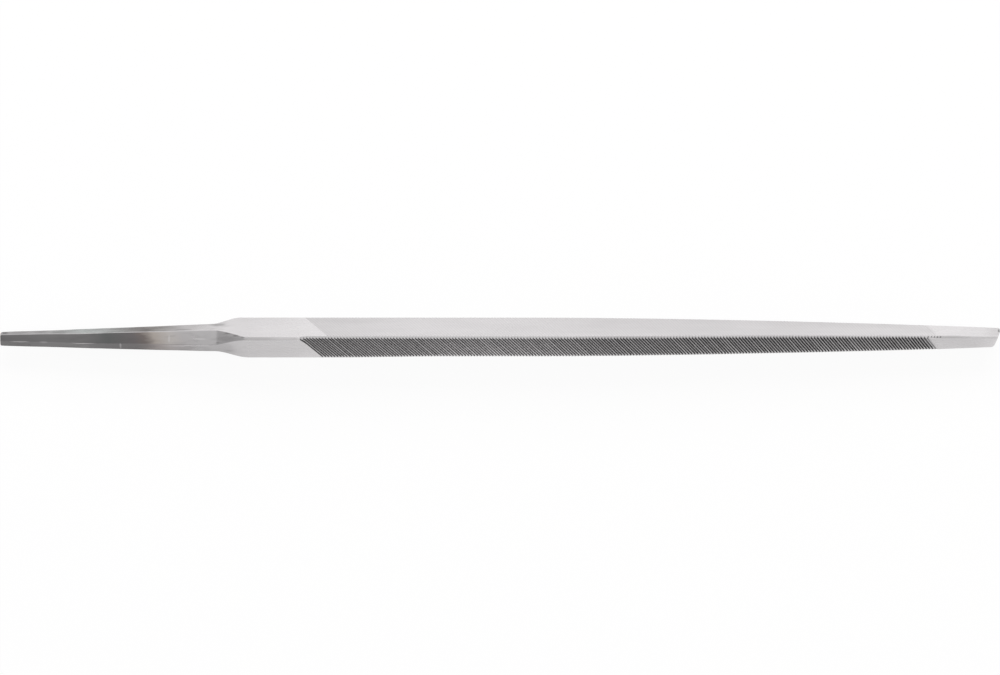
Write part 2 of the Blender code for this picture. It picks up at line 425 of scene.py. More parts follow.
def edge_painted_sheen(number, station):
    """The painted sheen along the crown of an edge: a painted highlight on the ridge."""
    return at_station(PAINTED_SHEENS, station, "crown") if number == RIDGE else 1


def place(line, station, direction, out, along):
    """A point of the skin at a distance out from the axis, shifted along the surface."""
    out += unevenness(station, direction, along) - SKIN_CLEARANCE
    y = out * cos(direction) - along * sin(direction)
    z = out * sin(direction) + along * cos(direction)
    pull = line.shear * tip_pull(y) if line.shear else -tang_push(y, station)
    return settle(station - pull - TIP_STATION / 2, y, AXIS_HEIGHT + z, station)


class Skin:
    """Points and faces of one mesh, with what the materials and the map need of each."""

    def __init__(self):
        self.points = []
        self.gullets = []
        self.flats = []
        self.uppers = []
        self.painted_sheens = []
        self.faces = []
        self.places = []
        self.zones = []
        self.smooth = []

    def spot(self, point, station, around, gullet=0, flat=0, upper=0, painted_sheen=1):
        """Adds a point, and says which it is and where it lies on the map."""
        self.points.append(point)
        self.gullets.append(gullet)
        self.flats.append(flat)
        self.uppers.append(upper)
        self.painted_sheens.append(painted_sheen)
        return Spot(len(self.points) - 1, station, around)

    def face(self, spots, zone, smooth=True):
        """Adds a face between spots, which go round it."""
        self.faces.append([spot.index for spot in spots])
        self.places.append([(spot.station, spot.around) for spot in spots])
        self.zones.append(zone)
        self.smooth.append(smooth)


def face_spots(skin, number, line):
    """One line across a face: a row on the edge before it, its columns, a row after it."""
    direction = FACES[number].direction
    upper = 1 if number == PLUS_Y_FACE else 0
    spots = []
    for share in COLUMN_SHARES:
        edge = number if share > 0 else number - 1
        level_half = face_half(edge, line.station, line.inset)
        station = line.station + share * level_half * line.lean
        along = share * face_half(edge, station, line.inset)
        where = Vector((station, along, number)) / CREST_WAVE_LENGTH
        depth = line.depth + (CREST_WAVE * noise.noise(where) if line.depth else 0)
        point = place(line, station, direction, face_out(station, line.inset) - depth, along)
        around = number + share * MAP_FACE
        gullet, flat = line.gullet, 0
        if abs(share) == 1:
            gullet *= (1 + FACES[number].end_residue) / 2
            flat = BORDER_FLATNESS * flat_share(crown(edge, station, line.inset))
        painted_sheen = face_painted_sheen(number, share, station)
        spots.append(skin.spot(point, station, around, gullet, flat, upper, painted_sheen))
    before = round_spot(skin, number, line, spots[0], -1, upper)
    after = round_spot(skin, number, line, spots[-1], 1, upper)
    return [before] + spots + [after]


def round_spot(skin, number, line, border, side, upper):
    """The line's last point, where its gullet runs out over the round of the edge."""
    station = border.station
    direction = FACES[number].direction
    edge = number if side > 0 else number - 1
    top = crown(edge, station, line.inset)
    out, along = round_point(top, 0)
    point = place(line, station, direction + side * EDGE_TURN, out, -side * along)
    drop = top.radius * (1 - cos(EDGE_TURN - BODY_TURNS[0]))
    point -= max(line.depth - drop, 0) * Vector((0, cos(direction), sin(direction)))
    around = number + side * MAP_ROUND
    gullet = line.gullet * FACES[number].end_residue
    flat = ROUND_FLATNESS * flat_share(top)
    painted_sheen = (face_painted_sheen(number, side, station) + edge_painted_sheen(edge, station)) / 2
    return skin.spot(point, station, around, gullet, flat, upper, painted_sheen)


def edge_spots(skin, number, line):
    """One line across the crown of an edge: a row on each side and the crown itself."""
    direction = FACES[number].direction + EDGE_TURN
    top = crown(number, line.station, line.inset)
    out, along = round_point(top, 1)
    side_depth = max(line.depth - (top.reach - out), 0)
    flat = flat_share(top)
    kept = 1 - EDGES[number].notch * in_teeth(line.station)
    before_end = line.station < TIP_STATION - EDGE_PLAIN_TIP - EDGE_DARK_END
    gullet = line.gullet * (EDGES[number].residue if before_end else 1)
    painted_sheen = edge_painted_sheen(number, line.station)
    spots = []
    for side, away in ((-1, -along), (0, 0), (1, along * kept)):
        row_out = out - side_depth if side else top.reach - line.depth
        point = place(line, line.station, direction, row_out, away)
        around = number + MAP_CROWN + side * MAP_CROWN_ROW
        upper = 1 if number == RIDGE and side < 0 else 0
        # Residue and painted shade in the ridge's notches, lighter on its +Y side, towards the
        # light
        dark = gullet * (RIDGE_NOTCH_FADE if upper else 1)
        spots.append(skin.spot(point, line.station, around, dark, flat, upper, painted_sheen))
    return spots


def tang_lines():
    """The tang's rounded end, its length, and the shoulder up to the full section."""
    lines = []
    for step in range(ROUNDING_STEPS):
        turn = pi / 2 * step / ROUNDING_STEPS
        station = TANG_END_ROUNDING * (1 - cos(turn))
        lines.append(Line(station, inset=TANG_END_ROUNDING * (1 - sin(turn)), zone=TANG))
    for step in range(TANG_STEPS):
        lines.append(Line(mix(TANG_END_ROUNDING, TANG_LENGTH, step / TANG_STEPS), zone=TANG))
    for step in range(SHOULDER_STEPS + 1):
        lines.append(Line(TANG_LENGTH + SHOULDER_LENGTH * step / SHOULDER_STEPS, zone=TANG))
    lines[-1] = lines[-1]._replace(zone=GROUND)
    return lines


def tip_lines():
    """The tip's last full line, and the rim of its flat end, a little within it."""
    rim = Line(TIP_STATION - TIP_RIM_BREAK, shear=1)
    return [rim, Line(TIP_STATION, inset=TIP_RIM_BREAK, shear=1)]


def tooth_lines(teeth, plain_heel, plain_tip, growth, seed):
    """Every tooth by its profile, each a little off in place and depth, the last ones shallow."""
    chance = random.Random(seed)
    start = HEEL_STATION + plain_heel
    count = floor((TIP_STATION - plain_tip - start) / teeth.pitch)
    runout = dict(zip(range(count - len(teeth.last_shares), count), teeth.last_shares))
    lines = []
    for tooth in range(count):
        lean = 1 / tan(mix(*teeth.angles, tooth / count))
        offset = chance.uniform(-1, 1) * PITCH_JITTER_SHARE
        tooth_depth = mix(*teeth.depths, tooth / count) * runout.get(tooth, 1)
        tooth_depth *= 1 - chance.random() * DEPTH_JITTER_SHARE
        for point in teeth.profile:
            station = start + (tooth + point.pitch_share + offset) * teeth.pitch
            sunk = tooth_depth * point.depth_share
            gullet = mix(point.heel_gullet, point.tip_gullet, growth * tooth / count)
            gullet *= runout.get(tooth, 1)
            lines.append(Line(station, lean, sunk, gullet=gullet, zone=CUT))
    lines.append(Line(start + count * teeth.pitch, lean))
    return lines


def ridge_lines(face_cut):
    """The ridge's notches, where the -Y face's teeth run out over it, and then its own teeth."""
    last_start = TIP_STATION - EDGE_PLAIN_TIP - EDGE_DARK_END
    notches = []
    for line in face_cut:
        station = line.station - line.lean * face_half(RIDGE, line.station, 0)
        if station < last_start:
            depth = line.depth * RIDGE_NOTCH_DEPTH_SHARE
            notches.append(line._replace(station=station, lean=0, depth=depth))
    last = tooth_lines(EDGE_TEETH, last_start - HEEL_STATION, EDGE_PLAIN_TIP, 0, RIDGE_SEED)
    return notches + last


def lines_between(first, last):
    """Plain lines that turn one line evenly into another, with both of those left out."""
    shares = [step / PLAIN_STEPS for step in range(1, PLAIN_STEPS)]
    return [
        Line(mix(first.station, last.station, share), mix(first.lean, last.lean, share),
             shear=mix(first.shear, last.shear, share))
        for share in shares
    ]


def bar_lines(cut):
    """All lines along the bar: the tang, the plain heel, the teeth and the plain tip."""
    tang, tip = tang_lines(), tip_lines()
    heel = lines_between(tang[-1], cut[0])
    return tang + heel + cut + lines_between(cut[-1], tip[0]) + tip


def edge_cut(number, face_cuts):
    """The lines of an edge's teeth."""
    if number == RIDGE:
        return ridge_lines(face_cuts[MINUS_Y_FACE])
    return tooth_lines(EDGE_TEETH, EDGE_PLAIN_HEEL, EDGE_PLAIN_TIP, 0, EDGE_SEED + number)


def weave(skin, number, cut, line_spots):
    """A face or an edge, with quads between its neighbouring lines."""
    lines = bar_lines(cut)
    grid = [line_spots(skin, number, line) for line in lines]
    for line, spots, following in zip(lines, grid, grid[1:]):
        for i in range(len(spots) - 1):
            skin.face((spots[i], following[i], following[i + 1], spots[i + 1]), line.zone)
    return Strip(lines, grid)


def sew(skin, strip, next_strip, wrap):
    """Triangles between two strips whose points differ, always taking the nearer next point."""
    left = [row[-1] for row in strip.grid]
    right = [row[0]._replace(around=row[0].around + wrap) for row in next_strip.grid]
    i = j = 0
    while i + 1 < len(left) or j + 1 < len(right):
        right_done = j + 1 == len(right)
        zone = strip.lines[i].zone
        if right_done or (i + 1 < len(left) and left[i + 1].station <= right[j + 1].station):
            skin.face((left[i], left[i + 1], right[j]), zone)
            i += 1
        else:
            skin.face((left[i], right[j + 1], right[j]), zone)
            j += 1


def close_end(skin, strips, end, outward):
    """A flat fan over the bar's end: end picks the first or the last line of each strip.

    All of it takes the tone of the flats.
    """
    line = strips[0].lines[end]
    middle = skin.spot(place(line, line.station, 0, 0, 0), line.station, 0, flat=1)
    rim = [spot for strip in strips for spot in strip.grid[end]]
    for spot in rim:
        skin.flats[spot.index], skin.uppers[spot.index] = 1, 0
    rim.append(rim[0]._replace(around=rim[0].around + len(FACES)))
    for spot, following in zip(rim, rim[1:]):
        station = line.station + outward * MAP_CAP_LENGTH
        tip = middle._replace(station=station, around=(spot.around + following.around) / 2)
        skin.face((tip, spot, following)[::outward], line.zone, smooth=False)


def bar_skin():
    """The whole bar: three toothed faces joined by three toothed edges, closed at both ends."""
    skin = Skin()
    face_cuts = [
        tooth_lines(FACE_TEETH, face.plain_heel, face.plain_tip, face.growth, number)
        for number, face in enumerate(FACES)
    ]
    strips = []
    for number, face_cut in enumerate(face_cuts):
        strips.append(weave(skin, number, face_cut, face_spots))
        strips.append(weave(skin, number, edge_cut(number, face_cuts), edge_spots))
    for strip, next_strip in zip(strips, strips[1:]):
        sew(skin, strip, next_strip, 0)
    sew(skin, strips[-1], strips[0], len(FACES))
    close_end(skin, strips, 0, -1)
    close_end(skin, strips, -1, 1)
    return skin


def map_corner(station, around, band):
    """Place on the map: the bar's length is cut into bands, one above another."""
    margin_along, margin_across = MAP_MARGINS
    along = (1 - 2 * margin_along) * (station * MAP_BANDS / TIP_STATION - band)
    across = (1 - 2 * margin_across) * (around + MAP_CROWN) / len(FACES)
    return margin_along + along, (band + margin_across + across) / MAP_BANDS


def bar_mesh(skin, materials):
    """The mesh of a skin, with its attributes, its map and its materials."""
    mesh = bpy.data.meshes.new("file_bar")
    mesh.from_pydata(skin.points, [], skin.faces)
    carried = {"gullet": skin.gullets, "flat": skin.flats}
    carried.update({"upper": skin.uppers, "painted_sheen": skin.painted_sheens})
    for name, values in carried.items():
        attribute = mesh.attributes.new(name, "FLOAT", "POINT")
        attribute.data.foreach_set("value", values)
    layer = mesh.uv_layers.new(name="OFBake")
    corners = []
    for places in skin.places:
        mean = sum(station for station, _ in places) / len(places)
        band = min(floor(mean * MAP_BANDS / TIP_STATION), MAP_BANDS - 1)
        for station, around in places:
            corners.extend(map_corner(station, around, band))
    layer.data.foreach_set("uv", corners)
    for material in materials:
        mesh.materials.append(material)
    mesh.polygons.foreach_set("material_index", skin.zones)
    mesh.polygons.foreach_set("use_smooth", skin.smooth)
    mesh.set_sharp_from_angle(angle=SMOOTH_ANGLE)
    mesh.validate()
    return mesh


def make(tree, kind, inputs, **settings):
    """A node with its settings, and its inputs set to values or linked to other nodes."""
    node = tree.nodes.new(kind)
    for name, value in settings.items():
        setattr(node, name, value)
    for name, value in inputs.items():
        if isinstance(value, bpy.types.NodeSocket):
            tree.links.new(value, node.inputs[name])
        else:
            node.inputs[name].default_value = value
    return node


def value_math(tree, operation, *values, clamp=False):
    """One number worked out from others, each a value or a link."""
    node = make(tree, "ShaderNodeMath", {}, operation=operation, use_clamp=clamp)
    for socket, value in zip(node.inputs, values):
        if isinstance(value, bpy.types.NodeSocket):
            tree.links.new(value, socket)
        else:
            socket.default_value = value
    return node.outputs[0]


def add(tree, first, second):
    """The sum of two numbers."""
    return value_math(tree, "ADD", first, second)


def scaled(tree, value, factor):
    """A number times a factor, which may be a link as well."""
    return value_math(tree, "MULTIPLY", value, factor)


def weighed(tree, first, second, share):
    """The sum of two numbers, with a share of the first and the rest of the second."""
    return add(tree, scaled(tree, first, share), scaled(tree, second, 1 - share))


def vector_math(tree, operation, inputs, output="Vector"):
    """A vector worked out from others, or its length as the output named Value."""
    return make(tree, "ShaderNodeVectorMath", inputs, operation=operation).outputs[output]


def remap(tree, value, from_low, from_high, to_low, to_high):
    """A number moved from one range to another, and held at the ends of that."""
    inputs = {"Value": value, "From Min": from_low, "From Max": from_high}
    inputs.update({"To Min": to_low, "To Max": to_high})
    return make(tree, "ShaderNodeMapRange", inputs).outputs["Result"]


def ramp(tree, factor, stops):
    """A colour ramp with a place and a colour for each stop."""
    node = make(tree, "ShaderNodeValToRGB", {"Fac": factor})
    elements = node.color_ramp.elements
    while len(elements) < len(stops):
        elements.new(1.0)
    for element, (position, color) in zip(elements, stops):
        element.position = position
        element.color = (*color, 1)
    return node.outputs["Color"]


def blend(tree, factor, first, second):
    """A colour between two others, which are links or plain colours."""
    node = make(tree, "ShaderNodeMix", {}, data_type="RGBA")
    sockets = {socket.identifier: socket for socket in node.inputs}
    for name, value in (("Factor_Float", factor), ("A_Color", first), ("B_Color", second)):
        if isinstance(value, bpy.types.NodeSocket):
            tree.links.new(value, sockets[name])
        elif isinstance(value, tuple):
            sockets[name].default_value = (*value, 1)
        else:
            sockets[name].default_value = value
    return next(s for s in node.outputs if s.identifier == "Result_Color")


STEEL_TINT = (1.007, 0.993, 0.998)


def grey(level):
    """Steel's own slightly warm grey, at a level."""
    return tuple(level * channel for channel in STEEL_TINT)


def grey_ramp(tree, factor, positions, levels):
    """A ramp of greys with a level at each position."""
    return ramp(tree, factor, [(at, grey(level)) for at, level in zip(positions, levels)])


def bar_place(tree):
    """The place on the bar, in metres, which moves with it."""
    return make(tree, "ShaderNodeTexCoord", {}).outputs["Object"]


def bar_axis(tree, axis):
    """The place on the bar along one axis."""
    return make(tree, "ShaderNodeSeparateXYZ", {"Vector": bar_place(tree)}).outputs[axis]


# Settings of all noise, and the range that most of its values lie in
GRAIN_DETAIL = 3.0
GRAIN_ROUGHNESS = 0.55
NOISE_RANGE = (0.3, 0.7)


def grain(tree, scale):
    """Noise with its own number of cells for each metre along each axis."""
    mapped = make(tree, "ShaderNodeMapping", {"Vector": bar_place(tree), "Scale": scale})
    inputs = {"Vector": mapped.outputs["Vector"], "Scale": 1.0}
    inputs.update({"Detail": GRAIN_DETAIL, "Roughness": GRAIN_ROUGHNESS})
    return make(tree, "ShaderNodeTexNoise", inputs).outputs["Fac"]


def shown(tree, name):
    """A number that the mesh carries at each of its points."""
    return make(tree, "ShaderNodeAttribute", {}, attribute_name=name).outputs["Fac"]


def new_metal(name):
    """A new all-metal material: itself, its tree, and the shader to finish."""
    material = bpy.data.materials.new(name)
    material.use_nodes = True
    tree = material.node_tree
    shader = tree.nodes["Principled BSDF"]
    shader.inputs["Metallic"].default_value = 1.0
    return material, tree, shader


def finish_metal(tree, shader, color, roughness, height, depth):
    """Links colour, roughness and a fine relief, as deep as it is named, to the shader."""
    tree.links.new(color, shader.inputs["Base Color"])
    tree.links.new(roughness, shader.inputs["Roughness"])
    inputs = {"Height": height, "Strength": 1.0, "Distance": depth}
    relief = make(tree, "ShaderNodeBump", inputs)
    tree.links.new(relief.outputs["Normal"], shader.inputs["Normal"])


# Belt-ground steel: cells of noise for each metre, the share of coarse marks among all and
# of marks against clouds, depth of the relief, where it gets paler past the heel's start and
# by how much, its tones, and its roughness from faint marks to strong ones
GRIND_COARSE = (40, 2200, 2200)
GRIND_FINE = (150, 9000, 9000)
GRIND_CLOUDS = (60, 220, 220)
COARSE_SHARE = 0.6
MARKS_SHARE = 0.35
GRIND_DEPTH = 0.0015 * MM
GROUND_FADE = (HEEL_STATION, HEEL_STATION + 12 * MM)
GROUND_PALER = (-0.1, 0.25)
GROUND_RANGE = (0.25, 0.75)
GROUND_TONES = (0.68, 0.775)
GROUND_ROUGHNESS = (0.22, 0.32)


def grind_marks(tree):
    """Fine and coarse marks that run along the bar, as a grinding belt leaves them."""
    return weighed(tree, grain(tree, GRIND_COARSE), grain(tree, GRIND_FINE), COARSE_SHARE)


def along_bar(tree, first, last, low, high):
    """A number that goes from low at the first station to high at the last one."""
    start = -TIP_STATION / 2
    return remap(tree, bar_axis(tree, "X"), start + first, start + last, low, high)


def brightened(tree, color, factor):
    """A colour with all its channels multiplied by a factor."""
    return vector_math(tree, "SCALE", {0: color, "Scale": factor})


def ground_color(tree, marks):
    """Bright ground steel, a little paler away from the shoulder, times the painted sheen."""
    clouds = weighed(tree, marks, grain(tree, GRIND_CLOUDS), MARKS_SHARE)
    away = along_bar(tree, *GROUND_FADE, *GROUND_PALER)
    color = grey_ramp(tree, add(tree, clouds, away), GROUND_RANGE, GROUND_TONES)
    # Painted sheen: lighter or darker where the steel would reflect more or less light
    return brightened(tree, color, shown(tree, "painted_sheen"))


def ground_steel():
    """Belt-ground steel of the heel, the shoulder and the tip, with painted sheen and painted
    shade at the tip's upper corner.
    """
    material, tree, shader = new_metal("ground_steel")
    marks = grind_marks(tree)
    # Painted shade at the tip's upper corner
    corner_shade = marked(tree, TIP_CORNER_SHADE, TIP_SHADE_BOTTOM)
    color = blend(tree, corner_shade, ground_color(tree, marks), STAIN_AND_SHADE_TONE)
    roughness = remap(tree, marks, *NOISE_RANGE, *GROUND_ROUGHNESS)
    finish_metal(tree, shader, color, roughness, marks, GRIND_DEPTH)
    return material


# Chiselled steel: cells of noise for each metre, depth of the relief, tones of the teeth's
# backs, their shade where the teeth begin and the length over which it ends, tones of the
# residue and painted shade in the gullets at the heel and at the tip, how patchy they are, and
# roughness without them and with them
CUT_CLOUDS = (70, 400, 400)
CUT_SPECKLE = (2500, 2500, 2500)
CUT_DEPTH = 0.003 * MM
CUT_TONES = (0.71, 0.76)
CUT_SHADE = 0.88
CUT_SHADE_LENGTH = 24 * MM
RESIDUE_AND_SHADE_TONES = (0.075, 0.035)
RESIDUE_AND_SHADE_PATCHINESS = (0.9, 1.1)
CUT_ROUGHNESS = (0.3, 0.6)


def cut_steel():
    """Chiselled teeth: bright backs, and rough gullets and fronts dark with residue and painted
    shade.
    """
    material, tree, shader = new_metal("cut_steel")
    speckle = grain(tree, CUT_SPECKLE)
    patchy = remap(tree, speckle, *NOISE_RANGE, *RESIDUE_AND_SHADE_PATCHINESS)
    # The gullets' darkness is partly residue and partly painted shade, deeper on the faces away
    # from +Y and towards the tip
    residue = value_math(tree, "MULTIPLY", shown(tree, "gullet"), patchy, clamp=True)
    bright = grey_ramp(tree, grain(tree, CUT_CLOUDS), NOISE_RANGE, CUT_TONES)
    shade = along_bar(tree, CUT_START, CUT_START + CUT_SHADE_LENGTH, CUT_SHADE, 1.0)
    bright = brightened(tree, bright, shade)
    along = along_bar(tree, HEEL_STATION, TIP_STATION, 0.0, 1.0)
    dark = grey_ramp(tree, along, (0.0, 1.0), RESIDUE_AND_SHADE_TONES)
    # Painted sheen on top of the residue and painted shade
    color = brightened(tree, blend(tree, residue, bright, dark), shown(tree, "painted_sheen"))
    roughness = remap(tree, residue, 0.0, 1.0, *CUT_ROUGHNESS)
    finish_metal(tree, shader, color, roughness, speckle, CUT_DEPTH)
    return material


# Temper colours of the tang, which was dipped in salt only up to its middle: places as
# shares of the length up to the heel, a tint for each on the flats, on the strip of the +Y
# face and on the other faces' strips, and the tone of a painted highlight on the corner above that
# strip.
# The +Y strip's tints are painted lighter and the other strips' darker, as light from +Y falls on
# them
Temper = namedtuple("Temper", "share flat upper lower worn")
TEMPERS = (
    Temper(0.08, grey(0.25), grey(0.385), grey(0.205), grey(0.45)),
    Temper(0.19, grey(0.275), grey(0.357), grey(0.235), grey(0.75)),
    Temper(0.33, grey(0.265), (0.45, 0.48, 0.47), grey(0.238), grey(0.75)),
    Temper(0.43, (0.195, 0.203, 0.2), (0.41, 0.425, 0.42), grey(0.205), grey(0.45)),
    Temper(0.55, (0.235, 0.22, 0.222), (0.24, 0.23, 0.225), (0.2, 0.193, 0.193), grey(0.85)),
    Temper(0.585, (0.285, 0.25, 0.235), (0.22, 0.205, 0.2), (0.24, 0.222, 0.218), grey(0.85)),
    Temper(0.625, (0.6, 0.55, 0.505), (0.275, 0.265, 0.255), (0.36, 0.33, 0.32), grey(0.85)),
    Temper(0.68, (0.72, 0.69, 0.665), (0.37, 0.36, 0.355), (0.44, 0.415, 0.405), grey(0.85)),
    Temper(0.74, (0.68, 0.665, 0.665), (0.485, 0.475, 0.475), (0.44, 0.425, 0.425), grey(0.85)),
    Temper(0.82, grey(0.7), grey(0.6), grey(0.51), grey(0.85)),
    Temper(0.92, grey(0.68), grey(0.72), grey(0.56), grey(0.85)),
    Temper(1.0, grey(0.7), grey(0.73), grey(0.69), grey(0.85)),
)

# Marks on the upper half of the tang, in millimetres: station, place towards +Y and
# half-sizes along both, and then their strength. The scratches are wear and the stains the tang's
# own, but for one stain that is painted shade at the foot of the shoulder
Mark = namedtuple("Mark", "station aside length width strength")
SCRATCHES = (
    Mark(3.9, -0.8, 1.8, 0.13, 0.22),
    Mark(8.6, -0.9, 0.8, 0.2, 0.12),
    Mark(9.6, 1.15, 0.8, 0.35, 0.06),
    Mark(16.6, -1.75, 0.8, 0.35, 0.035),
    Mark(16.3, -1.15, 2.4, 0.08, 0.33),
    Mark(23.6, -1.6, 0.2, 0.5, 0.22),
    Mark(33.2, -0.27, 0.25, 0.75, 0.4),
    Mark(39.1, -0.3, 1.4, 0.16, 0.5),
    Mark(37.1, -1.65, 4.7, 0.08, 0.3),
)
STAINS_AND_SHADE = (
    Mark(0.9, 0.92, 0.6, 0.24, 0.7),
    Mark(5.8, -1.45, 0.3, 0.12, 0.5),
    Mark(8.3, 1.35, 1.6, 0.3, 0.3),
    Mark(35.9, 1.56, 1.7, 0.08, 0.3),
    # Painted shade in the concave foot of the shoulder at +Y
    Mark(42.6, 2.6, 1.5, 0.45, 0.4),
    Mark(44.6, -0.25, 1.9, 0.5, 0.14),
    Mark(12.1, 1.1, 0.9, 0.35, 0.16),
    Mark(26.1, 1.6, 1.0, 0.4, 0.17),
    Mark(37.9, 2.1, 0.8, 0.35, 0.05),
    Mark(42.7, -1.0, 0.35, 0.14, 0.35),
    Mark(44.7, 0.78, 0.6, 0.13, 0.4),
    Mark(46.3, 0.34, 0.6, 0.15, 0.4),
    Mark(47.7, 0.04, 0.4, 0.14, 0.35),
)
# Painted shade at the tip's upper corner, at +Y
TIP_CORNER_SHADE = (Mark(196.2, 1.32, 0.4, 0.36, 0.8),)

# The height above which the tip's painted shade shows, the height over which all marks come in,
# how far and how finely their borders wander, and how soft those are, in shares of a half-size
TIP_SHADE_BOTTOM = AXIS_HEIGHT - 1 * MM
MARK_FADE_HEIGHT = 0.3 * MM
MARK_WANDER = 0.25 * MM
MARK_WANDER_CELLS = 900.0
MARK_BORDER = (0.6, 1.2)
SCRATCH_TONE = grey(0.95)
# Tone of the stains and of the painted shade
STAIN_AND_SHADE_TONE = grey(0.13)


def wandering_place(tree):
    """The place on the bar, shifted a little to and fro."""
    inputs = {"Vector": bar_place(tree), "Scale": MARK_WANDER_CELLS}
    wander = make(tree, "ShaderNodeTexNoise", inputs).outputs["Color"]
    centred = vector_math(tree, "SUBTRACT", {0: wander, 1: (0.5, 0.5, 0.5)})
    shift = vector_math(tree, "SCALE", {0: centred, "Scale": MARK_WANDER})
    return vector_math(tree, "ADD", {0: bar_place(tree), 1: shift})


def marked(tree, marks, bottom):
    """How much of any of the marks shows above a height: each is a soft ellipse from above."""
    height = bar_axis(tree, "Z")
    raised = remap(tree, height, bottom, bottom + MARK_FADE_HEIGHT, 0.0, 1.0)
    where = wandering_place(tree)
    total = 0.0
    for mark in marks:
        station, aside, length, width = (size * MM for size in mark[:-1])
        inputs = {"Vector": where, "Location": (station - TIP_STATION / 2, aside, 0)}
        inputs["Scale"] = (length, width, 1)
        local = make(tree, "ShaderNodeMapping", inputs, vector_type="TEXTURE")
        flat = vector_math(tree, "MULTIPLY", {0: local.outputs[0], 1: (1, 1, 0)})
        away = vector_math(tree, "LENGTH", {0: flat}, "Value")
        share = remap(tree, away, *MARK_BORDER, mark.strength, 0.0)
        total = value_math(tree, "MAXIMUM", total, share)
    return scaled(tree, total, raised)


# The tang's scale: cells of noise for each metre, depth of the relief, how far the temper
# colours wander, patches on the +Y strip by noise and strength, dark blotches likewise with
# their tone, and the flatness where a flat's colour comes in
SCALE_WANDER = (120, 500, 500)
SCALE_PATCHES = (330, 1200, 1200)
SCALE_BLOTCHES = (250, 900, 900)
SCALE_PITS = (1600, 1600, 1600)
SCALE_DEPTH = 0.012 * MM
TEMPER_WANDER = 1 * MM
PATCH_NOISE = (0.35, 0.65)
PATCH_STRENGTH = 0.14
BLOTCH_NOISE = (0.5, 0.8)
BLOTCH_STRENGTH = 0.3
BLOTCH_TONE = grey(0.16)
FLAT_COMES_IN = (0.4, 0.75)

# The painted highlight's tone on the corner above the +Y strip, and its fade by flatness. Then the
# shares of the length up to the heel where patches end, bright steel comes in, the relief fades
# and the surface gets smooth, the share of pits in the relief, what is left of it, and the
# roughness before and after
PAINTED_HIGHLIGHT_TONE = grey(0.75)
PAINTED_HIGHLIGHT_FADE = (0.1, 0.45)
PATCH_FADE_SHARES = (0.6, 0.8)
HEEL_FADE_SHARES = (0.92, 1.0)
RELIEF_FADE_SHARES = (0.6, 0.9)
SMOOTHER_SHARES = (0.55, 0.8)
PIT_SHARE = 0.3
RELIEF_LEFT = 0.1
SCALE_ROUGHNESS = (0.42, 0.27)


def temper_share(tree):
    """The share of the length up to the heel, with borders that wander."""
    shift = remap(tree, grain(tree, SCALE_WANDER), *NOISE_RANGE, -TEMPER_WANDER, TEMPER_WANDER)
    place_along = add(tree, bar_axis(tree, "X"), shift)
    start = -TIP_STATION / 2
    return remap(tree, place_along, start, start + HEEL_STATION, 0.0, 1.0)


def painted_corner_highlight(tree, worn):
    """How much painted highlight lies on the corner between the tang's upper flat and its +Y
    strip.
    """
    from_middle = add(tree, shown(tree, "flat"), -ROUND_FLATNESS)
    off_corner = value_math(tree, "ABSOLUTE", from_middle)
    corner = scaled(tree, remap(tree, off_corner, *PAINTED_HIGHLIGHT_FADE, 1.0, 0.0), shown(tree, "upper"))
    return scaled(tree, corner, worn)


def temper_tone(tree, share, blotches):
    """Temper colours by the share of the length, with the +Y strip painted lighter, patchy,
    blotched, and with a painted highlight at a corner.
    """
    flat, upper, lower, worn = (
        ramp(tree, share, [(temper.share, getattr(temper, side)) for temper in TEMPERS])
        for side in ("flat", "upper", "lower", "worn")
    )
    patches = grain(tree, SCALE_PATCHES)
    patches = remap(tree, patches, *PATCH_NOISE, -PATCH_STRENGTH, PATCH_STRENGTH)
    patches = scaled(tree, patches, remap(tree, share, *PATCH_FADE_SHARES, 1.0, 0.0))
    upper = brightened(tree, upper, add(tree, patches, 1.0))
    is_flat = remap(tree, shown(tree, "flat"), *FLAT_COMES_IN, 0.0, 1.0)
    # The +Y strip painted lighter than the other strips, as light from +Y falls
    tone = blend(tree, is_flat, blend(tree, shown(tree, "upper"), lower, upper), flat)
    # Painted highlight on the corner above the +Y strip
    tone = blend(tree, painted_corner_highlight(tree, worn), tone, PAINTED_HIGHLIGHT_TONE)
    blotched = remap(tree, blotches, *BLOTCH_NOISE, 0.0, BLOTCH_STRENGTH)
    return blend(tree, blotched, tone, BLOTCH_TONE)


def tang_steel():
    """Forge scale and temper colours of the tang, which end in bright steel at the heel, with the
    +Y strip painted lighter and a painted highlight above it.
    """
    material, tree, shader = new_metal("tang_steel")
    share, blotches = temper_share(tree), grain(tree, SCALE_BLOTCHES)
    tone = temper_tone(tree, share, blotches)
    near_heel = remap(tree, share, *HEEL_FADE_SHARES, 0.0, 1.0)
    color = blend(tree, near_heel, tone, ground_color(tree, grind_marks(tree)))
    # Stains, one of them painted shade at the shoulder's foot
    color = blend(tree, marked(tree, STAINS_AND_SHADE, AXIS_HEIGHT), color, STAIN_AND_SHADE_TONE)
    color = blend(tree, marked(tree, SCRATCHES, AXIS_HEIGHT), color, SCRATCH_TONE)
    pits = add(tree, blotches, scaled(tree, grain(tree, SCALE_PITS), PIT_SHARE))
    height = scaled(tree, pits, remap(tree, share, *RELIEF_FADE_SHARES, 1.0, RELIEF_LEFT))
    roughness = remap(tree, share, *SMOOTHER_SHARES, *SCALE_ROUGHNESS)
    finish_metal(tree, shader, color, roughness, height, SCALE_DEPTH)
    return material


def seen_by(tree, *rays):
    """1 where the ray that looks is any of the named kinds."""
    path = make(tree, "ShaderNodeLightPath", {})
    total = 0.0
    for ray in rays:
        total = value_math(tree, "MAXIMUM", total, path.outputs[f"Is {ray} Ray"])
    return total


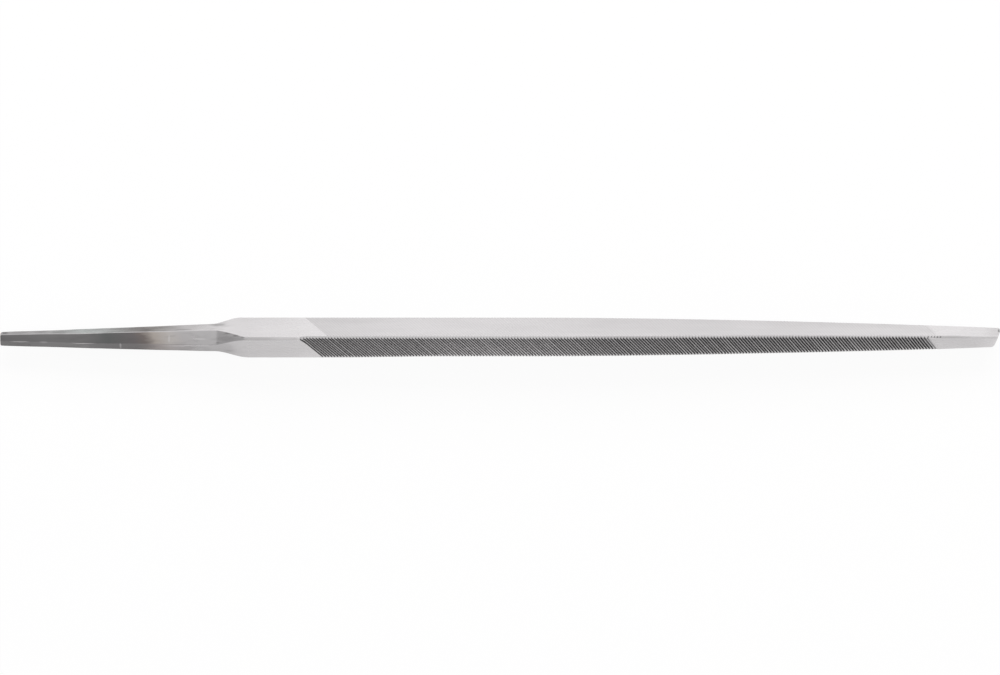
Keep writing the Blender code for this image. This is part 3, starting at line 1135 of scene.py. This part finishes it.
# Shares of pure white in what the camera, and what bright metal, sees of the floor, and its
# half-size, cells of noise for each metre and tones
CAMERA_WHITE = 0.93
METAL_WHITE = 0.38
FLOOR_HALF_SIZE = 3.0
PAPER_GRAIN = (300, 300, 300)
PAPER_TONES = (0.89, 0.92)


def paper():
    """Pale floor that shows nearly white, and keeps the bar's soft shadow."""
    material = bpy.data.materials.new("paper")
    material.use_nodes = True
    tree = material.node_tree
    tree.nodes.remove(tree.nodes["Principled BSDF"])
    color = grey_ramp(tree, grain(tree, PAPER_GRAIN), (0.0, 1.0), PAPER_TONES)
    lit = make(tree, "ShaderNodeBsdfDiffuse", {"Color": color})
    white = make(tree, "ShaderNodeEmission", {"Color": (1, 1, 1, 1), "Strength": 1.0})
    by_camera = scaled(tree, seen_by(tree, "Camera"), CAMERA_WHITE)
    by_metal = scaled(tree, seen_by(tree, "Glossy", "Transmission"), METAL_WHITE)
    share = value_math(tree, "MAXIMUM", by_camera, by_metal)
    mixed = make(tree, "ShaderNodeMixShader", {0: share, 1: lit.outputs[0], 2: white.outputs[0]})
    output = next(node for node in tree.nodes if node.type == "OUTPUT_MATERIAL")
    tree.links.new(mixed.outputs[0], output.inputs["Surface"])
    return material


def lay_floor():
    """A square floor, which is no part of the file."""
    size = FLOOR_HALF_SIZE
    corners = [(-size, -size, 0), (size, -size, 0), (size, size, 0), (-size, size, 0)]
    mesh = bpy.data.meshes.new("floor")
    mesh.from_pydata(corners, [], [(0, 1, 2, 3)])
    mesh.materials.append(paper())
    floor_object = bpy.data.objects.new("floor", mesh)
    bpy.context.collection.objects.link(floor_object)


# The sky's brightness by the height of the view, from the horizon to straight above, how
# much it loses high behind the tang, and how much it gains towards +Y
SKY_HEIGHTS = (0.0, 0.3, 0.7, 1.0)
SKY_LEVELS = (0.9, 0.83, 0.7, 0.65)
SKY_TANG_SIDE_DROP = 0.83
SKY_SIDE_LIFT = 0.15


def soft_sky():
    """A plain studio sky: pale all round, duller above and high behind the tang."""
    world = bpy.data.worlds.new("studio")
    bpy.context.scene.world = world
    world.use_nodes = True
    tree = world.node_tree
    view = make(tree, "ShaderNodeTexCoord", {}).outputs["Generated"]
    axes = make(tree, "ShaderNodeSeparateXYZ", {"Vector": view}).outputs
    behind = value_math(tree, "MULTIPLY", axes["X"], -SKY_TANG_SIDE_DROP, clamp=True)
    drop = value_math(tree, "MULTIPLY", behind, axes["Z"], clamp=True)
    lift = scaled(tree, axes["Y"], SKY_SIDE_LIFT)
    background = tree.nodes["Background"]
    color = grey_ramp(tree, axes["Z"], SKY_HEIGHTS, SKY_LEVELS)
    tree.links.new(color, background.inputs["Color"])
    strength = value_math(tree, "SUBTRACT", add(tree, lift, 1.0), drop)
    tree.links.new(strength, background.inputs["Strength"])


# The key lamp's place, size in metres and power in watts
KEY_PLACE = (0.1, 1.1, 0.55)
KEY_SIZE = (1.4, 0.5)
KEY_POWER = 18


def light_key():
    """A broad lamp from +Y, which lights the floor and is kept out of the reflections."""
    lamp = bpy.data.lights.new("key", "AREA")
    lamp.shape = "RECTANGLE"
    lamp.size, lamp.size_y = KEY_SIZE
    lamp.energy = KEY_POWER
    key = bpy.data.objects.new("key", lamp)
    key.location = KEY_PLACE
    key.rotation_euler = Vector(KEY_PLACE).to_track_quat("Z", "Y").to_euler()
    key.visible_glossy = False
    bpy.context.collection.objects.link(key)


# The camera's lens and sensor in millimetres, the width that the picture shows, and the
# height at which it shows that
LENS = 400
SENSOR_WIDTH = 36
FRAME_WIDTH = 196.3 * MM
FOCUS_HEIGHT = 2.6 * MM


def place_camera():
    """Straight above the bar, framed as the photograph is, from the tang's end to the tip."""
    data = bpy.data.cameras.new("camera")
    data.lens = LENS
    data.sensor_width = SENSOR_WIDTH
    camera = bpy.data.objects.new("camera", data)
    camera.location = (0, 0, FOCUS_HEIGHT + FRAME_WIDTH * LENS / SENSOR_WIDTH)
    bpy.context.collection.objects.link(camera)
    bpy.context.scene.camera = camera


def dress_bar():
    """The bar's skin in the solid's place."""
    mesh = bar_mesh(bar_skin(), (ground_steel(), cut_steel(), tang_steel()))
    bar = bpy.data.objects.new("file_bar", mesh)
    bpy.context.collection.objects.link(bar)
    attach(bar, "root")
    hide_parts("saw_file")


dress_bar()
lay_floor()
soft_sky()
light_key()
place_camera()
bpy.context.scene.view_settings.view_transform = "Standard"
